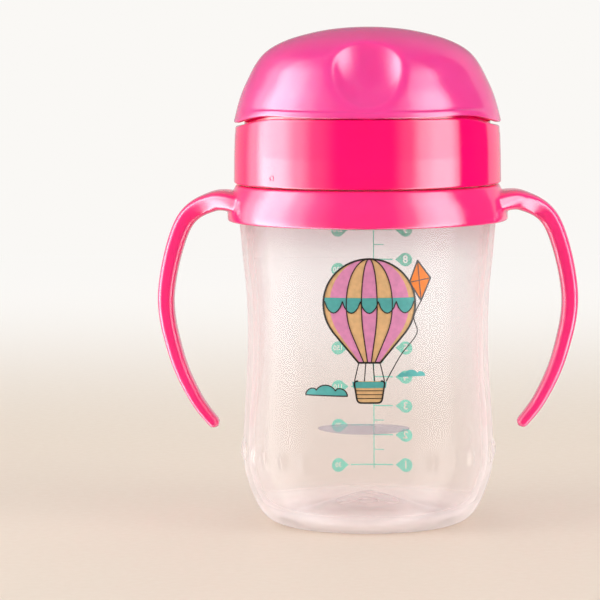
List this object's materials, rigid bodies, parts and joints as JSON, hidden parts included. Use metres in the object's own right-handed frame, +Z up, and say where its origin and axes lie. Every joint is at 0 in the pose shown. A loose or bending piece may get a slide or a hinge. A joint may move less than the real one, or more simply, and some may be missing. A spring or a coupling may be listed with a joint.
{
  "type": "sippy cup",
  "caption": "Clear hourglass training cup with a screw collar, a domed visor lid over a soft spout, and a clamped ring carrying two open curved handles.",
  "frame": {"origin": "centre of the base on the table", "axes": "+Z up along the cup's axis, -Y towards the front with the thumb dish, handles on +X and -X"},
  "size_m": [0.1188, 0.079, 0.1398],
  "materials": {
    "cup": "clear moulded polypropylene, slightly milky",
    "handles": "satin-gloss pink moulding",
    "collar": "polished deep magenta, slightly see-through",
    "lid": "translucent milky pink, glossy",
    "spout": "soft frosted silicone",
    "valve": "soft frosted silicone",
    "seal": "soft frosted silicone",
    "print_tan": "printed ink",
    "print_teal": "printed ink",
    "print_mint": "printed ink",
    "print_pink": "printed ink",
    "print_orange": "printed ink",
    "print_outline": "printed ink",
    "print_shadow": "thin printed ink"
  },
  "bodies": {
    "cup": {"cup_body": "cup", "handle_ring": "handles"},
    "seal": {"neck_seal": "seal"},
    "collar": {"screw_collar": "collar", "soft_spout": "spout", "spout_valve": "valve", "vent_valve": "valve"},
    "lid": {"visor_lid": "lid"}
  },
  "joints": [
    {"name": "collar_lift", "type": "slide", "parent": "cup", "child": "seal", "axis": [0, 0, 1], "range_m": [0, 0.00625]},
    {"name": "collar_turn", "type": "hinge", "parent": "seal", "child": "collar", "pos_m": [0, 0, 0.1], "axis": [0, 0, 1], "range_deg": [0, 450]},
    {"name": "lid_pivot", "type": "hinge", "parent": "collar", "child": "lid", "pos_m": [0, 0.013, 0.118], "axis": [-1, 0, 0], "range_deg": [0, 90]}
  ],
  "couplings": [
    {"joint": "collar_lift", "follows": "collar_turn", "m_per_rad": 0.00079577}
  ]
}
